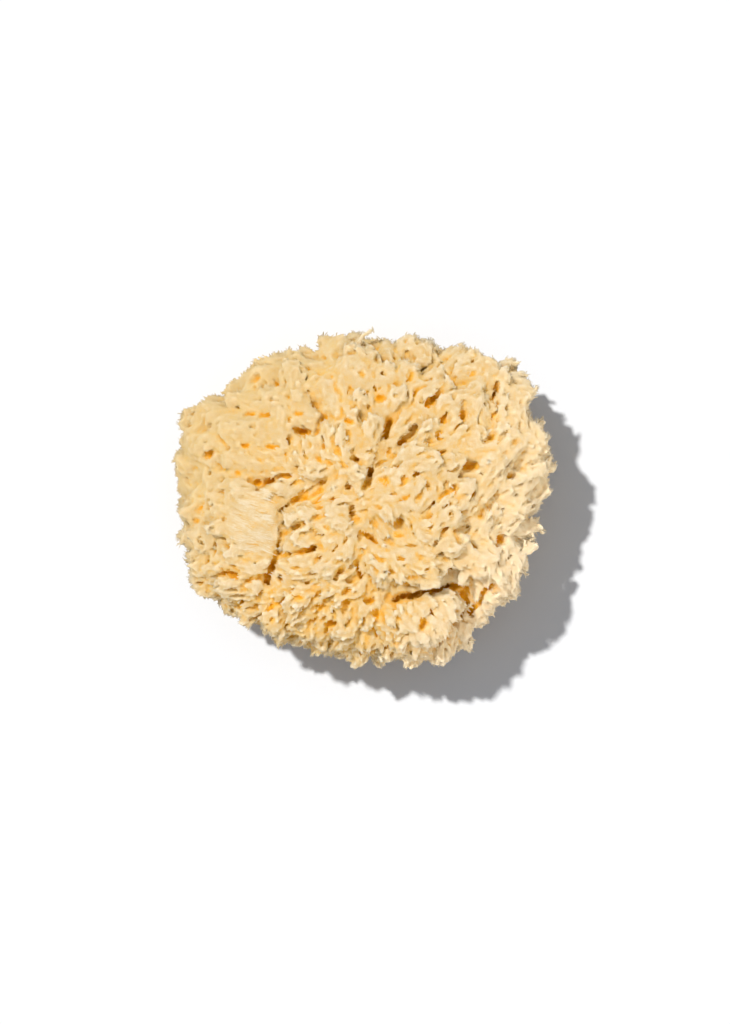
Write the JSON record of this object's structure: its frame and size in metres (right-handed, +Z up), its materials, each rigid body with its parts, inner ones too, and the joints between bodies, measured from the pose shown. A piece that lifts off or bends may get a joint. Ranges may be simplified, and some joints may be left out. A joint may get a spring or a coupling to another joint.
{
  "type": "natural sea sponge",
  "caption": "Rounded natural bath sponge with felt-like radial lobes, soft pits and a flat cut base to rest on.",
  "frame": {"origin": "on the flat cut base, under the middle of the sponge's bounding box", "axes": "+Z up out of the base; +X along the longest side; the picture looks straight down with +X to its right and +Y to its top"},
  "size_m": [0.1384, 0.1236, 0.0685],
  "materials": {
    "dry_sponge": "dry, matte, slightly translucent cream fibre, orange-brown deep in the pits"
  },
  "bodies": {
    "root": {"sponge": "dry_sponge"}
  },
  "joints": []
}
